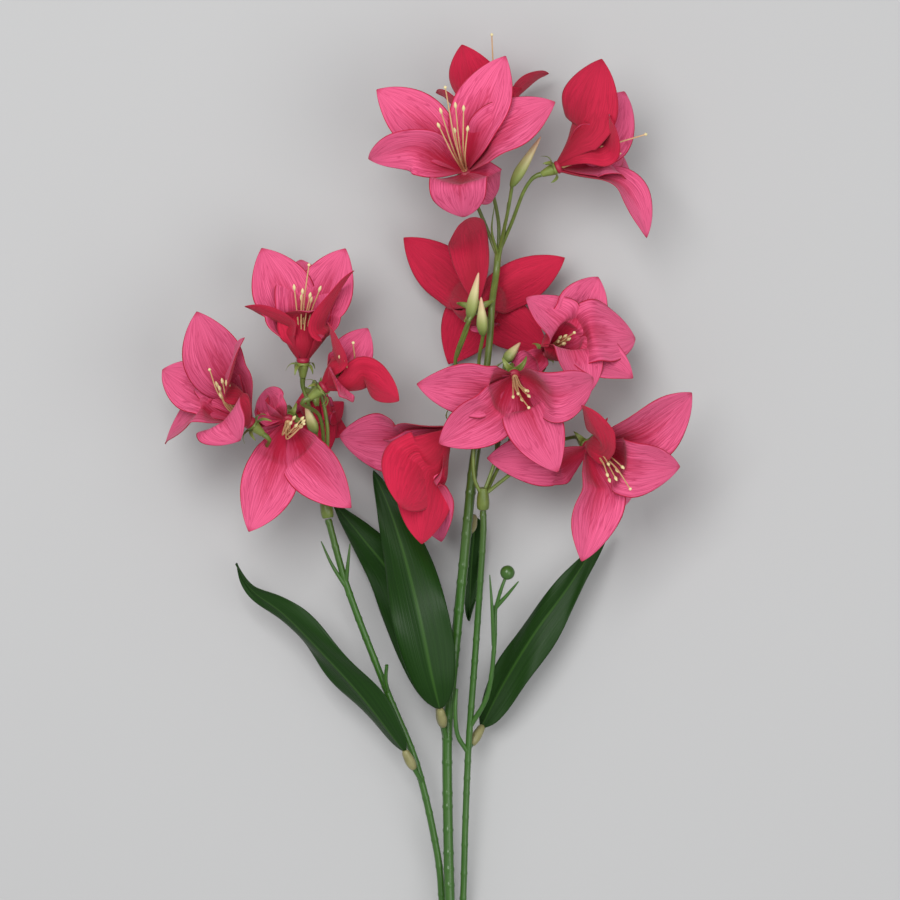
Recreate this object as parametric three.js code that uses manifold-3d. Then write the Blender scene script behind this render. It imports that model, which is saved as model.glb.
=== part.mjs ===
// An artificial cut Peruvian lily, lying on its back: one long stem that splits at a crown into
// three branches, with thirteen open flowers, buds and five strap leaves.
// Millimetres, +Z up. The cut end points to -Y and the flowers to +Y.
import * as THREE from 'three';
import { mergeVertices } from 'three/addons/utils/BufferGeometryUtils.js';
import Module from 'manifold-3d';

const wasm = await Module();
wasm.setup();

// ---- driving dimensions ----
const GAP = 0.3;             // clearance between touching mouldings
const PETAL_LENGTH = 56;     // along the midrib, heel to tip
const PETAL_HALF_WIDTH = 13;
const PETAL_THICK = 0.6;
const HUB_R = 3.0;           // moulded ring that the six petals share
const HUB_H = 2.2;
const PIN_R = 0.6;           // stamen pin, through the hub into the calyx
const BORE_R = 1.0;
const CUP_R = 3.4;           // calyx cup
const CUP_H = 7.5;
const LEAF_THICK = 0.8;
const WIRE_R = 0.6;          // steel wire core of the branches
const CROWN_R = 6.6;         // moulded collar that holds the three branches
const MAIN_LENGTH = 130;     // plain stem below the crown
const MAIN_R = 4.0;

const V = (x, y, z) => new THREE.Vector3(x, y, z);
const vec = a => V(a[0], a[1], a[2]);

// ---- solids ----
function solid(geometry) {
  let g = geometry.clone();
  g.deleteAttribute('normal');
  g.deleteAttribute('uv');
  g = mergeVertices(g, 1e-4);
  return new wasm.Manifold(new wasm.Mesh({
    numProp: 3,
    vertProperties: new Float32Array(g.attributes.position.array),
    triVerts: new Uint32Array(g.index.array),
  }));
}

function geometryOf(manifold) {
  const mesh = manifold.getMesh();
  const g = new THREE.BufferGeometry();
  g.setAttribute('position', new THREE.BufferAttribute(mesh.vertProperties, 3));
  g.setIndex(new THREE.BufferAttribute(mesh.triVerts, 1));
  return g;
}

const union = geometries => geometries.map(solid).reduce((a, b) => a.add(b));

// ---- round pieces ----
// a lathe turned about the line through `at` along `axis`; profile is [radius, height] pairs
function turned(profile, at, axis, sides) {
  const g = new THREE.LatheGeometry(profile.map(p => new THREE.Vector2(p[0], p[1])), sides);
  g.applyQuaternion(new THREE.Quaternion().setFromUnitVectors(V(0, 1, 0), axis));
  return g.translate(at.x, at.y, at.z);
}

function section(radius, sides, bore) {
  const shape = new THREE.Shape();
  for (let i = 0; i < sides; i++) {
    const a = (i + 0.5) * 2 * Math.PI / sides;
    if (i === 0) shape.moveTo(radius * Math.cos(a), radius * Math.sin(a));
    else shape.lineTo(radius * Math.cos(a), radius * Math.sin(a));
  }
  shape.closePath();
  if (bore) {
    const hole = new THREE.Path();
    hole.moveTo(bore, 0);
    for (let i = 1; i < 4; i++) hole.lineTo(bore * Math.cos(-i * Math.PI / 2), bore * Math.sin(-i * Math.PI / 2));
    hole.closePath();
    shape.holes.push(hole);
  }
  return shape;
}

function tube(points, radius, sides, steps, bore = 0) {
  const path = points.length === 2 ? new THREE.LineCurve3(vec(points[0]), vec(points[1]))
    : new THREE.CatmullRomCurve3(points.map(vec), false, 'centripetal');
  return new THREE.ExtrudeGeometry(section(radius, sides, bore),
    { steps, bevelEnabled: false, extrudePath: path });
}

// ---- bent blades: petals, sepals, bracts and leaves ----
// A thin box laid along a curve. `side(t)` is its width direction, `half(t)` its half width;
// the margins lift by `cup` times the half width towards the face.
function blade(curve, side, half, thick, cup, across, along) {
  const g = new THREE.BoxGeometry(2, 1, 1, across, along, 1);
  const p = g.attributes.position;
  for (let i = 0; i < p.count; i++) {
    const x = -p.getX(i), t = p.getY(i) + 0.5, z = p.getZ(i);   // -x keeps the faces outward
    const T = curve.getTangent(t);
    const S = side(t).clone().addScaledVector(T, -side(t).dot(T)).normalize();
    const N = T.clone().cross(S);
    const w = half(t);
    const at = curve.getPoint(t).addScaledVector(S, x * w).addScaledVector(N, cup * w * x * x + z * thick);
    p.setXYZ(i, at.x, at.y, at.z);
  }
  return g;
}

// width of a petal along its midrib: narrow heel, widest past the middle, short point
const petalWidth = t => Math.abs(Math.sin(Math.PI * t ** 1.55)) ** 1.2 + 0.08 * (1 - t) + 0.04 * t;

// two directions square to the axis; bearings are measured from the first
function crossAxes(axis) {
  const u = (Math.abs(axis.z) < 0.9 ? V(0, 0, 1) : V(1, 0, 0)).cross(axis).normalize();
  return [u, axis.clone().cross(u)];
}

// midrib: leaves the seat along the flower's axis and bends out to the tip; the handles grow
// until the curve is as long as the petal
function midrib(seat, axis, tip, open, droop, heel, length) {
  const A = axis, end = seat.clone().add(tip);
  const R = tip.clone().addScaledVector(A, -tip.dot(A)).normalize();
  const start = seat.clone().addScaledVector(A, heel[1]).addScaledVector(R, heel[0]);
  const chord = end.clone().sub(start), d = chord.length(), C = chord.normalize();
  const out = A.clone().addScaledVector(C, -A.dot(C)).normalize().negate();
  const b = THREE.MathUtils.degToRad(Math.max(36, 0.65 * open));
  const first = A.clone().multiplyScalar(Math.cos(b)).addScaledVector(R, Math.sin(b));
  const a = THREE.MathUtils.degToRad(droop);
  const last = C.clone().multiplyScalar(Math.cos(a)).addScaledVector(out, Math.sin(a));
  let curve, low = 0.1, high = 1.3;
  for (let i = 0; i < 18; i++) {
    const s = (low + high) / 2;
    curve = new THREE.CubicBezierCurve3(start,
      start.clone().addScaledVector(first, d * s * 0.7), end.clone().addScaledVector(last, -d * s), end);
    if (curve.getLength() < length) low = s; else high = s;
  }
  return { curve, R, cross: A.clone().cross(R).normalize() };
}

function petal(seat, axis, [bearing, open, reach, droop = 25, twist = 0, wide = 1], inner, size, slim) {
  const heel = inner ? [1.5, 1.4] : [2.1, 0.6];
  const [u] = crossAxes(axis);
  const a = THREE.MathUtils.degToRad(open);
  const R = u.applyAxisAngle(axis, THREE.MathUtils.degToRad(bearing));
  const tip = axis.clone().multiplyScalar(reach * Math.cos(a)).addScaledVector(R, reach * Math.sin(a));
  const m = midrib(seat, axis, tip, open, droop, heel, PETAL_LENGTH * size);
  const side = t => m.cross.clone().applyAxisAngle(m.curve.getTangent(t), THREE.MathUtils.degToRad(twist) * t);
  const half = t => PETAL_HALF_WIDTH * size * slim * wide * petalWidth(t);
  return blade(m.curve, side, half, PETAL_THICK, 0.14, 2, 3);
}

// ---- materials ----
const paint = (color, roughness, metalness = 0) => () => new THREE.MeshStandardMaterial({ color, roughness, metalness });
const PETAL = paint(0xdc5588, 0.75);
const CALYX = paint(0x5d7a35, 0.5);
const STAMEN = paint(0xd8c58a, 0.55);
const STEM = paint(0x3c692d, 0.35);
const HEAD = paint(0x52702f, 0.45);
const LEAF = paint(0x22421c, 0.5);
const SOCKET = paint(0x7c7a48, 0.4);
const STEEL = paint(0x9a9c9e, 0.35, 1);

const spray = new THREE.Group();
function add(name, shape, material) {
  const mesh = new THREE.Mesh(shape.isBufferGeometry ? shape : geometryOf(shape), material());
  mesh.name = name;
  spray.add(mesh);
}

// ---- flowers ----
// seat: where the petals meet; axis: the way the flower looks. Each petal is its bearing about
// the axis, its opening from the axis, the reach of its tip in mm, then the droop of the tip,
// the twist of the blade and a width factor; they are alternately of the outer and inner whorl.
const FLOWERS = {
  top_front: {
    seat: [6, 343, 50], axis: [-0.15, 0.4, 0.9], pistil: [-9, 35, 45],
    petals: [[0, 75, 26, 80], [58, 120, 40], [117, 67, 53, 20], [160, 58, 55, 15], [232, 52, 56, 20],
      [278, 67, 46, 50, -30, 0.85]],
  },
  top_back: {
    seat: [16, 359, 36], axis: [0.1, 0.9, -0.35], pistil: [2, 47, -2], slim: 0.68,
    petals: [[62, 46, 46, 0], [108, 30, 42, 0], [155, 42, 44, 20, 30], [212, 46, 44, 0], [268, 34, 42, 0], [325, 46, 42, 0]],
  },
  top_side: {
    seat: [47, 345, 50], axis: [0.9, 0.38, 0.1], pistil: [40, 15, 0],
    petals: [[7, 50, 52, 0, -40], [53, 42, 52, 0], [183, 62, 51, 50], [240, 45, 42], [287, 42, 47], [328, 50, 48]],
  },
  middle_back: {
    seat: [11, 282, 42], axis: [0.05, 0.1, -1], pistil: [2, 5, -26],
    petals: [[61, 64, 50], [124, 48, 50], [209, 44, 47], [265, 22, 36], [312, 64, 51], [352, 110, 47, 40]],
  },
  right_upper: {
    seat: [42, 262, 28], axis: [0.5, 0.35, 0.75], pistil: [13, 9, 20],
    petals: [[30, 48, 36, 50], [92, 125, 20, 0, 0, 0.6], [150, 66, 38, 60], [208, 35, 45, 50], [256, 75, 48], [310, 55, 40, 40]],
  },
  centre_front: {
    seat: [28, 252, 46], axis: [0.1, -0.4, 0.9], pistil: [6, -15, 36],
    petals: [[26, 40, 50, 20], [52, 116, 34, 25, 0, 0.8], [80, 34, 42, 60], [236, 84, 34, 0, 0, 0.6], [268, 72, 48, 20], [306, 70, 46]],
  },
  right_lower: {
    seat: [61, 220, 46], axis: [0.45, -0.35, 0.8], pistil: [18, -19, 35],
    petals: [[62, 76, 34, 50], [144, 118, 46, 0], [204, 61, 53, 15], [262, 99, 46], [304, 47, 44, 40], [346, 65, 54]],
  },
  centre_nodding: {
    seat: [0, 228, 40], axis: [-0.75, -0.6, -0.05], pistil: [-18, -13, 1], slim: 0.78,
    petals: [[36, 30, 54, 10], [88, 34, 48], [167, 53, 51, 10], [226, 44, 46], [278, 46, 38], [340, 36, 54]],
  },
  left_upright: {
    seat: [-67, 258, 46], axis: [0.02, 1, 0.1], pistil: [3, 43, 14], slim: 0.75,
    petals: [[8, 27, 52], [65, 30, 55, 40], [176, 22, 55, 0], [232, 37, 50], [280, 40, 50], [326, 48, 44]],
  },
  left_side: {
    seat: [-58, 246, 56], axis: [0.7, 0.65, 0.25], pistil: [14, 20, 14], size: 0.75, slim: 0.85,
    petals: [[45, 54, 36], [120, 68, 30, 50], [185, 42, 36], [238, 60, 36], [295, 60, 34], [350, 35, 36]],
  },
  left_back: {
    seat: [-62, 243, 32], axis: [0, -0.5, -0.85], pistil: [-1, -12, -20], size: 0.7, slim: 0.7,
    petals: [[15, 35, 35], [75, 40, 35], [135, 35, 36], [195, 35, 34], [255, 50, 34], [315, 45, 34]],
  },
  left_cup: {
    seat: [-90, 230, 57], axis: [-0.7, 0.62, 0.35], pistil: [-18, 24, 12],
    petals: [[61, 42, 30, 90], [160, 40, 44, 20], [213, 27, 56, 10], [244, 62, 46], [280, 45, 53, 10], [325, 70, 46]],
  },
  left_open: {
    seat: [-74, 232, 38], axis: [0, -0.5, 0.85], pistil: [8, -2, 28],
    petals: [[135, 118, 32], [165, 125, 30], [195, 118, 32], [225, 122, 30, 0, 0, 0.7], [266, 41, 56, 10], [335, 55, 52, 10]],
  },
};

const calyxFoot = {};        // where each pedicel meets its calyx, and the axis there
for (const [name, flower] of Object.entries(FLOWERS)) {
  const seat = vec(flower.seat), A = vec(flower.axis).normalize(), size = flower.size ?? 1;
  calyxFoot[name] = { foot: seat.clone().addScaledVector(A, -CUP_H - GAP), axis: A };

  const hub = turned([[BORE_R, 0], [HUB_R, 0], [HUB_R, HUB_H], [BORE_R, HUB_H], [BORE_R, 0]], seat, A, 8);
  const petals = flower.petals.map((p, i) => petal(seat, A, p, i % 2 === 1, size, flower.slim ?? 1));
  add(`${name}_petals`, union([hub, ...petals]), PETAL);

  // calyx: a cup with a blind bore for the pin and five curled sepals
  const cup = turned([[0, -CUP_H], [1.8, -CUP_H], [2.6, -CUP_H * 0.6], [CUP_R, -GAP], [BORE_R, -GAP],
    [BORE_R, -5], [0, -5]], seat, A, 6);
  const across = Math.abs(A.z) < 0.9 ? V(0, 0, 1) : V(1, 0, 0);
  const sepals = [0, 1, 2, 3, 4].map(i => {
    const R = across.clone().addScaledVector(A, -across.dot(A)).normalize()
      .applyAxisAngle(A, i * 2 * Math.PI / 5);
    const on = (r, h) => seat.clone().addScaledVector(R, r).addScaledVector(A, h);
    const curve = new THREE.CubicBezierCurve3(on(2.4, -1.8), on(4.6, -2), on(7, -2.6), on(7.5, -5.5));
    return blade(curve, () => A.clone().cross(R), t => 1.5 * (1 - t) + 0.2, 0.5, 0, 1, 1);
  });
  add(`${name}_calyx`, union([cup, ...sepals]), CALYX);

  // stamens: pin and button with six filaments and a longer style
  const button = turned([[0, -4.4], [PIN_R, -4.4], [PIN_R, HUB_H + GAP], [1.5, HUB_H + GAP], [1.5, HUB_H + 1.4],
    [0, HUB_H + 1.6]], seat, A, 5);
  const style = vec(flower.pistil);
  const B = style.clone().normalize();
  const root = seat.clone().addScaledVector(A, HUB_H + 0.8);
  const threads = [0, 1, 2, 3, 4, 5, 6].map(i => {
    const side = A.clone().cross(across).normalize().applyAxisAngle(A, i * Math.PI / 3);
    const reach = i === 6 ? style.length() : style.length() * 0.55;
    const spread = i === 6 ? 0 : reach * 0.08;
    const end = seat.clone().addScaledVector(B, reach).addScaledVector(side, spread);
    const from = root.clone().addScaledVector(side, i === 6 ? 0 : 1);
    const mid = from.clone().addScaledVector(A, reach * 0.4);
    return tube([from, mid, end].map(p => p.toArray()), 0.42, 3, 2);
  });
  add(`${name}_stamens`, union([button, ...threads]), STAMEN);
}

// ---- heads: collar, pedicels, buds and needle bracts, moulded in one ----
const BARE = 1.1;            // pedicel radius
const HEADS = {
  left_head: {
    stem: [[-56, 187.5, 36], [-58, 200, 36], [-60, 212, 37]], radius: 2.1,
    pedicels: {
      left_upright: [[-60, 210, 37], [-62, 228, 37], [-65, 240, 42]],
      left_side: [[-59, 208, 37], [-58, 222, 36], [-60, 234, 42]],
      left_back: [[-58, 206, 37], [-56, 226, 41], [-59, 244, 45]],
      left_cup: [[-60, 209, 37], [-68, 216, 28], [-79, 216, 32], [-83.5, 219, 44]],
      left_open: [[-59, 205, 36], [-64, 216, 28], [-70, 232, 24]],
    },
    buds: [[[-60, 210, 37], [-60, 218, 36], [-61.5, 226, 40], [-66, 239, 47]]],
    needles: [],
  },
  centre_head: {
    stem: [[12, 227, 36], [14, 241, 36], [17, 268, 38], [18, 284, 39], [20, 298, 30], [21, 309, 31]], radius: 1.9,
    pedicels: {
      top_front: [[20.5, 306, 30], [16, 318, 29], [10.5, 331, 33]],
      top_back: [[21, 307, 30], [21, 322, 30], [17.5, 338, 36]],
      top_side: [[21, 307, 31], [27, 321, 38], [32, 334, 46]],
      middle_back: [[13, 232, 37], [4, 243, 40], [1.5, 258, 44], [5, 270, 53], [8, 277, 57]],
    },
    buds: [[[21, 307, 31], [25, 325, 44], [27, 337, 50], [40, 359, 56]],
      [[2, 260, 45], [6, 270, 53], [8, 277, 55], [12, 298, 60]],
      [[13, 232, 37], [12, 256, 44], [14, 270, 53], [13, 287, 58]]],
    needles: [[[21, 306, 31], [18, 317, 38], [19, 328, 41]], [[21, 304, 31], [24, 318, 36], [25, 330, 39]]],
  },
  right_head: {
    stem: [[14, 191.5, 40], [14, 199, 42]], radius: 2.0,
    pedicels: {
      centre_nodding: [[14, 197, 42], [10, 206, 45], [9.5, 222, 46]],
      centre_front: [[14, 198, 42], [20, 216, 38], [25, 246, 30]],
      right_lower: [[14.5, 198, 42], [30, 210, 37], [46, 221, 32]],
      right_upper: [[15, 198, 41], [26, 222, 27], [32, 244, 15]],
    },
    buds: [[[20, 216, 38.3], [21, 238, 39], [24, 258, 34], [31, 267, 34]]],
    needles: [],
  },
};

// a slim tapered bud, standing on the last stretch of its stalk
function bud(foot, tip) {
  const axis = tip.clone().sub(foot), h = axis.length();
  return turned([[0, -1], [1.2, -1], [3.1, h * 0.22], [2.7, h * 0.4], [0, h]], foot, axis.normalize(), 6);
}

for (const [name, head] of Object.entries(HEADS)) {
  const pieces = [tube(head.stem, head.radius, 6, head.stem.length * 2 - 2)];
  const [a, b] = [vec(head.stem[0]), vec(head.stem[1])];
  pieces.push(turned([[0, 0], [2.7, 0], [2.7, 7], [1.6, 9], [0, 9]], a, b.sub(a).normalize(), 6));
  for (const [flower, route] of Object.entries(head.pedicels)) {
    const { foot, axis } = calyxFoot[flower];
    const run = foot.clone().addScaledVector(axis, -4);
    pieces.push(tube([...route, run.toArray(), foot.toArray()], BARE, 5, 5));
  }
  for (const route of head.buds) {
    const stalk = route.slice(0, -1);
    pieces.push(tube(stalk, 0.8, 4, stalk.length), bud(vec(stalk.at(-1)), vec(route.at(-1))));
  }
  for (const route of head.needles) {
    pieces.push(blade(new THREE.CatmullRomCurve3(route.map(vec)), () => V(1, 0, 0), t => 1.1 - 0.9 * t, 0.8, 0, 1, 2));
  }
  add(name, union(pieces), HEAD);
}

// ---- branches: sleeved wire, with side shoots and leaf stubs moulded on ----
const BRANCHES = {
  left_branch: {
    radius: 1.6, route: [[-3, -12, 8], [-4.5, 12, 10], [-7, 36, 14], [-16, 75, 20], [-30, 110, 26], [-47, 155, 33],
      [-56, 187, 36]],
    shoots: [
      { r: 0.7, route: [[-47, 155, 33], [-54, 166, 36], [-59, 177, 40]] },
      { r: 0.7, route: [[-48, 158, 33.5], [-47, 167, 37], [-46, 176, 39]] },
      { r: 1.0, route: [[-29, 107, 25.5], [-30, 114, 30], [-29.5, 121, 33]] },
      { r: 1.1, route: [[-13.5, 67, 19], [-17, 73, 24], [-19, 77, 26]] },
    ],
  },
  centre_branch: {
    radius: 2.3, route: [[0, -12, 13], [-1, 12, 15], [-2, 59, 15], [-2, 91, 18], [0, 114, 22], [5, 164, 29],
      [9, 205, 34], [12, 226.5, 36]],
    shoots: [
      { r: 1.3, route: [[-2, 84, 17], [-3.5, 91, 21], [-4.5, 96, 25]] },
      { r: 1.1, route: [[-2, 82, 17], [-4, 90, 12], [-5, 96, 9]] },
      { r: 1.0, route: [[5, 174, 30], [8, 180, 27], [9, 184, 23]] },
    ],
  },
  right_branch: {
    radius: 1.5, route: [[3, -12, 8], [5, 12, 11], [6, 45, 15], [7, 72, 18], [8, 91, 21], [11, 132, 28],
      [14, 178, 38], [14, 191, 40]],
    shoots: [
      { r: 1.2, route: [[8, 92, 21], [16, 107, 28], [19, 128, 34], [19.5, 148, 38]] },
      { r: 0.7, route: [[19, 130, 34.5], [18, 148, 41], [17, 162, 43]] },
      { r: 0.9, route: [[19.5, 146, 38], [22, 155, 41], [25, 163, 42]], knob: 3.4 },
      { r: 0.7, route: [[19.5, 147, 38], [25, 153, 40], [30, 159, 42]] },
      { r: 1.1, route: [[7, 81, 19.5], [2.5, 89, 23], [1.5, 100, 26], [2, 110, 27]] },
      { r: 1.1, route: [[7.5, 82, 19], [9.5, 85, 16], [11, 87.5, 15]] },
    ],
  },
};
const CHANNEL_R = WIRE_R + 0.4;

// the same route with both ends drawn out
function longer(route, d) {
  const ends = [[route[0], route[1]], [route.at(-1), route.at(-2)]].map(([a, b]) =>
    vec(a).addScaledVector(vec(a).sub(vec(b)).normalize(), d).toArray());
  return [ends[0], ...route, ends[1]];
}

for (const [name, branch] of Object.entries(BRANCHES)) {
  const rod = tube(branch.route, branch.radius, 6, 10);
  const shoots = branch.shoots.map(({ r, route, knob }) => {
    const shoot = solid(tube(route, r, 4, 2));
    return knob ? shoot.add(solid(new THREE.SphereGeometry(knob, 6, 4).translate(...route.at(-1)))) : shoot;
  });
  const channel = solid(tube(longer(branch.route, 3), CHANNEL_R, 4, 12));
  add(name, shoots.reduce((a, b) => a.add(b), solid(rod)).subtract(channel), STEM);
  add(name.replace('branch', 'wire'), tube(longer(branch.route, 3).slice(1, -1), WIRE_R, 4, 10), STEEL);
}

// ---- main stem: plain sleeve below a collar that the three branches are moulded into ----
const mainRoute = [[0, -MAIN_LENGTH, MAIN_R + 0.3], [0, -70, 6], [0, -13.5, 10]];
const shank = tube(mainRoute, MAIN_R, 8, 6);
const collar = turned([[0, 0], [4.4, 0], [CROWN_R, 6], [CROWN_R, 16], [5.8, 18], [0, 18]],
  V(0, -20, 10), V(0, 1, 0.05).normalize(), 8);
const sockets = Object.values(BRANCHES).map(b => solid(tube(longer(b.route, 0.3).slice(0, -1), b.radius + GAP, 8, 10)));
const mainBore = tube(longer(mainRoute, 5).slice(0, 3).concat([[0, -22, 9.5]]), 1.4, 6, 8);
add('main_stem', sockets.reduce((a, b) => a.subtract(b), union([shank, collar]).subtract(solid(mainBore))), STEM);
add('main_wire', tube(mainRoute.slice(0, 2).concat([[0, -23, 9.4]]), 1.0, 5, 6), STEEL);

// ---- leaves and the sockets that hold them ----
// route of the midrib, half width, the way the blade's width points, and the socket on its stub
const LEAVES = {
  left_leaf: { route: [[-21.3, 81.7, 28.3], [-40, 106, 31], [-58, 126, 33], [-76, 144, 29], [-91, 155, 25], [-98, 167, 27]],
    half: 10, side: [0.45, 0.45, 0.75], stub: [[-17, 73, 24], [-19, 77, 26]], bore: 1.1 },
  centre_leaf: { route: [[-5.5, 101, 29], [-9, 116, 36], [-15, 145, 36], [-22, 172, 26], [-29, 193, 18], [-36, 209, 14]],
    half: 14, side: [1, 0.25, 0.15], stub: [[-3.5, 91, 21], [-4.5, 96, 25]], bore: 1.3 },
  back_leaf: { route: [[-6, 101, 7], [-13, 125, 6], [-26, 158, 8], [-40, 177, 12], [-54, 194, 14]],
    half: 12, side: [0.8, 0.6, 0.1], stub: [[-4, 90, 12], [-5, 96, 9]], bore: 1.1 },
  small_leaf: { route: [[10, 188, 19], [10.5, 184, 13], [9, 166, 9], [8, 140, 8]], half: 5,
    side: [1, 0, 0.3], stub: [[8, 180, 27], [9, 184, 23]], bore: 1.0 },
  right_leaf: { route: [[13.6, 91.8, 13.2], [24, 112, 14], [38, 135, 17], [54, 157, 16], [71, 183, 12]],
    half: 11, side: [0.75, -0.5, 0.45], stub: [[9.5, 85, 16], [11, 87.5, 15]], bore: 1.1 },
};
for (const [name, leaf] of Object.entries(LEAVES)) {
  const curve = new THREE.CatmullRomCurve3(leaf.route.map(vec));
  const half = t => leaf.half * (Math.abs(Math.sin(Math.PI * t ** 0.8)) ** 0.8 + 0.1 * (1 - t) + 0.03);
  add(name, blade(curve, () => vec(leaf.side), half, LEAF_THICK, 0.12, 2, 7), LEAF);
  const [a, b] = [vec(leaf.stub[0]), vec(leaf.stub[1])], along = b.clone().sub(a).normalize();
  const fit = leaf.bore + GAP;
  add(`${name}_socket`, turned([[fit, 0], [2.2, 0], [2.7, 3], [2.2, 8], [0, 8], [0, 3.8], [fit, 3.8], [fit, 0]],
    b.addScaledVector(along, -3.5), along, 7), SOCKET);
}

// the spray rests on the plane z = 0, centred over the origin
const box = new THREE.Box3().setFromObject(spray, true);
spray.position.set(-(box.min.x + box.max.x) / 2, -(box.min.y + box.max.y) / 2, -box.min.z);

export default spray;
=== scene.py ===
import math
import random
import bpy
import bmesh
from mathutils import Matrix, Vector


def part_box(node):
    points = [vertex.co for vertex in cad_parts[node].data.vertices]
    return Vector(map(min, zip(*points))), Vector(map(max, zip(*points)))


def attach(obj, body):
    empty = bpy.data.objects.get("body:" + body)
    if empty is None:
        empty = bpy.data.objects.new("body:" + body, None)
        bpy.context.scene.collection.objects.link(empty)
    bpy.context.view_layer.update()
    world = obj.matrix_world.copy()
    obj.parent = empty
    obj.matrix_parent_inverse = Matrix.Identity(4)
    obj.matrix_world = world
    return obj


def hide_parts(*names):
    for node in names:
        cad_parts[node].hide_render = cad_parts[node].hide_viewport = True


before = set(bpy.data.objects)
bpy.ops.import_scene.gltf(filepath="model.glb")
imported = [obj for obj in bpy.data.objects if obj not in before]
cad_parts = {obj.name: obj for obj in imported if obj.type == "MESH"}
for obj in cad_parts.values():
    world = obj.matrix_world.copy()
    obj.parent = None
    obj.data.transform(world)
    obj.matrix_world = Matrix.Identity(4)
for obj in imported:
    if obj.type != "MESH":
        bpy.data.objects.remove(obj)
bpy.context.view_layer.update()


# ---- The view ----
# The spray lies on its back on a table and is seen from straight above through a long lens. Every
# length below is in millimetres from the crown, where the three branches leave the main stem;
# place() turns it into the frame's metres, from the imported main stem's own box.
stem_low, stem_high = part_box("main_stem")
CROWN = Vector(((stem_low[0] + stem_high[0]) / 2, stem_low[1] + 0.13010, stem_low[2] - 0.00061))


def place(x, y, z):
    """A point in millimetres from the crown, in the frame's metres."""
    return CROWN + Vector((x, y, z)) * 0.001


camera_data = bpy.data.cameras.new("studio_camera")
camera_data.sensor_width = 36
camera_data.lens = 209.3
camera_data.clip_end = 10
camera = bpy.data.objects.new("studio_camera", camera_data)
camera.location = place(-0.9, 218.25, 2400)
bpy.context.collection.objects.link(camera)
bpy.context.scene.camera = camera
bpy.context.scene.view_settings.view_transform = "Standard"


# ---- Petals ----
# Each flower has six petals die-cut from woven polyester, printed with fine veins on the face and
# dyed a plain crimson on the back, then pressed hot into a curled shape. Their heels meet in a small
# moulded ring on the calyx. Three petals sit outside and three inside, turn and turn about.
PETAL_LENGTH = 56.0
PETAL_HALF_WIDTH = 12.8
CLOTH_THICKNESS = 0.0004
HUB_HEIGHT = 2.2
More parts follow.
